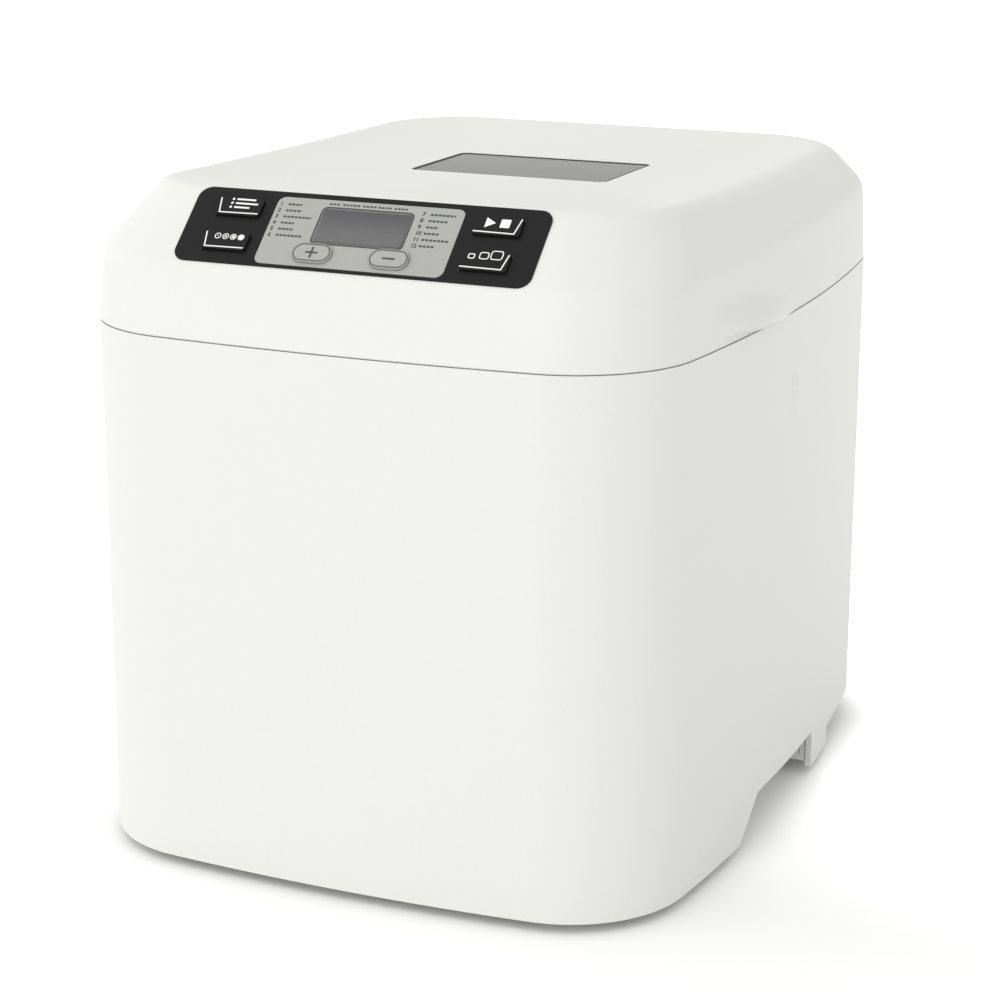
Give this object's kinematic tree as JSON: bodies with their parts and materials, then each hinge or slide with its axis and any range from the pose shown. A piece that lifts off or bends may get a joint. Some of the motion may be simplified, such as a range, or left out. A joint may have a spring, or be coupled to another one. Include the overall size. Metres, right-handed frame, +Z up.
{
  "type": "bread machine",
  "caption": "Upright bread maker: glossy white body, hinged lid with sloped control panel and viewing window, lift-out pan with stirring paddle, belt drive inside.",
  "frame": {"origin": "on the table, under the middle of the machine's bounding box", "axes": "+X to the machine's right as seen from the front, +Y to its back, +Z up; the control panel faces -Y"},
  "size_m": [0.257, 0.3, 0.2535],
  "materials": {
    "white_shell": "high-gloss moulded white plastic",
    "white_base": "satin moulded white plastic",
    "black_rubber": "matt black rubber",
    "seal_silicone": "soft grey silicone",
    "zinc_steel": "zinc-plated pressed steel",
    "screw_steel": "plated steel fasteners",
    "shaft_steel": "ground steel",
    "chamber_steel": "aluminised sheet steel, slightly mottled",
    "heater_steel": "dark oxidised heater sheath",
    "ceramic_white": "glazed ceramic",
    "bronze": "sintered bronze",
    "drive_plastic": "glass-filled black plastic",
    "drive_metal": "die-cast alloy",
    "laminations": "stacked motor laminations",
    "copper_wire": "enamelled copper winding",
    "component_grey": "moulded component bodies",
    "board_green": "circuit board",
    "pan_coating": "dark grey non-stick coating",
    "handle_wire": "plated wire",
    "liner_sheet": "satin aluminium sheet",
    "window_glass": "grey tinted pane",
    "clear_glass": "clear heat-proof glass",
    "fascia_black": "black printed overlay",
    "key_black": "black keys with white print",
    "plate_grey": "pale grey display surround",
    "lcd_glass": "grey display glass",
    "lcd_body": "display module frame"
  },
  "bodies": {
    "machine_body": {"outer_housing": "white_shell", "base_pan": "white_base", "rubber_feet": "black_rubber", "base_screws": "screw_steel", "chassis_plate": "zinc_steel", "chassis_screws": "screw_steel", "chamber_spacers": "zinc_steel", "chamber_screws": "screw_steel", "baking_chamber": "chamber_steel", "heating_element": "heater_steel", "heater_bushes": "ceramic_white", "heater_clips": "zinc_steel", "temperature_sensor": "component_grey", "thermal_fuse": "component_grey", "pan_clips": "zinc_steel", "bearing_housing": "zinc_steel", "shaft_bushes": "bronze", "drive_belt": "black_rubber", "motor_brackets": "zinc_steel", "motor_stator": "laminations", "motor_windings": "copper_wire", "run_capacitor": "component_grey", "power_board": "board_green", "cord_inlet": "black_rubber", "hinge_pin": "shaft_steel"},
    "lid": {"lid_shell": "white_shell", "lid_liner": "liner_sheet", "liner_screws": "screw_steel", "lid_seal": "seal_silicone", "window_pane": "window_glass", "window_gasket": "black_rubber", "inner_pane": "clear_glass", "fascia_panel": "fascia_black", "display_plate": "plate_grey", "lcd_lens": "lcd_glass", "lcd_module": "lcd_body", "control_board": "board_green", "key_switches": "component_grey"},
    "drive": {"main_shaft": "shaft_steel", "driven_pulley": "drive_plastic", "drive_coupling": "drive_metal"},
    "armature": {"motor_rotor": "laminations", "motor_shaft": "shaft_steel", "motor_pulley": "drive_plastic", "motor_fan": "drive_plastic"},
    "pan": {"bread_pan": "pan_coating", "pan_base": "drive_metal", "pan_bush": "bronze", "pan_ears": "shaft_steel"},
    "stirrer": {"pan_shaft": "shaft_steel", "wing_coupling": "drive_metal"},
    "paddle": {"kneading_paddle": "pan_coating"},
    "bail": {"pan_handle": "handle_wire"},
    "menu_button": {"menu_key": "key_black"},
    "crust_button": {"crust_key": "key_black"},
    "start_button": {"start_key": "key_black"},
    "size_button": {"size_key": "key_black"},
    "plus_button": {"plus_key": "plate_grey"},
    "minus_button": {"minus_key": "plate_grey"}
  },
  "joints": [
    {"name": "lid_hinge", "type": "hinge", "parent": "machine_body", "child": "lid", "pos_m": [0, 0.1455, 0.204], "axis": [-1, 0, 0], "range_deg": [0, 95]},
    {"name": "pan_lift", "type": "slide", "parent": "machine_body", "child": "pan", "axis": [0, 0, 1], "range_m": [0, 0.055]},
    {"name": "bail_swing", "type": "hinge", "parent": "pan", "child": "bail", "pos_m": [0, 0.04, 0.1683], "axis": [-1, 0, 0], "range_deg": [0, 180]},
    {"name": "drive_spin", "type": "hinge", "parent": "machine_body", "child": "drive", "pos_m": [0, 0.04, 0.03], "axis": [0, 0, 1], "continuous": true},
    {"name": "motor_spin", "type": "hinge", "parent": "machine_body", "child": "armature", "pos_m": [0, -0.087, 0.06], "axis": [0, 0, 1], "continuous": true},
    {"name": "stirrer_spin", "type": "hinge", "parent": "pan", "child": "stirrer", "pos_m": [0, 0.04, 0.07], "axis": [0, 0, 1], "continuous": true},
    {"name": "paddle_lift", "type": "slide", "parent": "stirrer", "child": "paddle", "axis": [0, 0, 1], "range_m": [0, 0.03]},
    {"name": "menu_press", "type": "slide", "parent": "lid", "child": "menu_button", "axis": [0, 0.6813, -0.732], "range_m": [0, 0.0008], "stiffness_N_per_m": 300},
    {"name": "crust_press", "type": "slide", "parent": "lid", "child": "crust_button", "axis": [0, 0.6813, -0.732], "range_m": [0, 0.0008], "stiffness_N_per_m": 300},
    {"name": "start_press", "type": "slide", "parent": "lid", "child": "start_button", "axis": [0, 0.6813, -0.732], "range_m": [0, 0.0008], "stiffness_N_per_m": 300},
    {"name": "size_press", "type": "slide", "parent": "lid", "child": "size_button", "axis": [0, 0.6813, -0.732], "range_m": [0, 0.0008], "stiffness_N_per_m": 300},
    {"name": "plus_press", "type": "slide", "parent": "lid", "child": "plus_button", "axis": [0, 0.6813, -0.732], "range_m": [0, 0.0008], "stiffness_N_per_m": 300},
    {"name": "minus_press", "type": "slide", "parent": "lid", "child": "minus_button", "axis": [0, 0.6813, -0.732], "range_m": [0, 0.0008], "stiffness_N_per_m": 300}
  ],
  "couplings": [
    {"joint": "stirrer_spin", "follows": "drive_spin", "ratio": 1},
    {"joint": "motor_spin", "follows": "drive_spin", "ratio": 5.25}
  ]
}
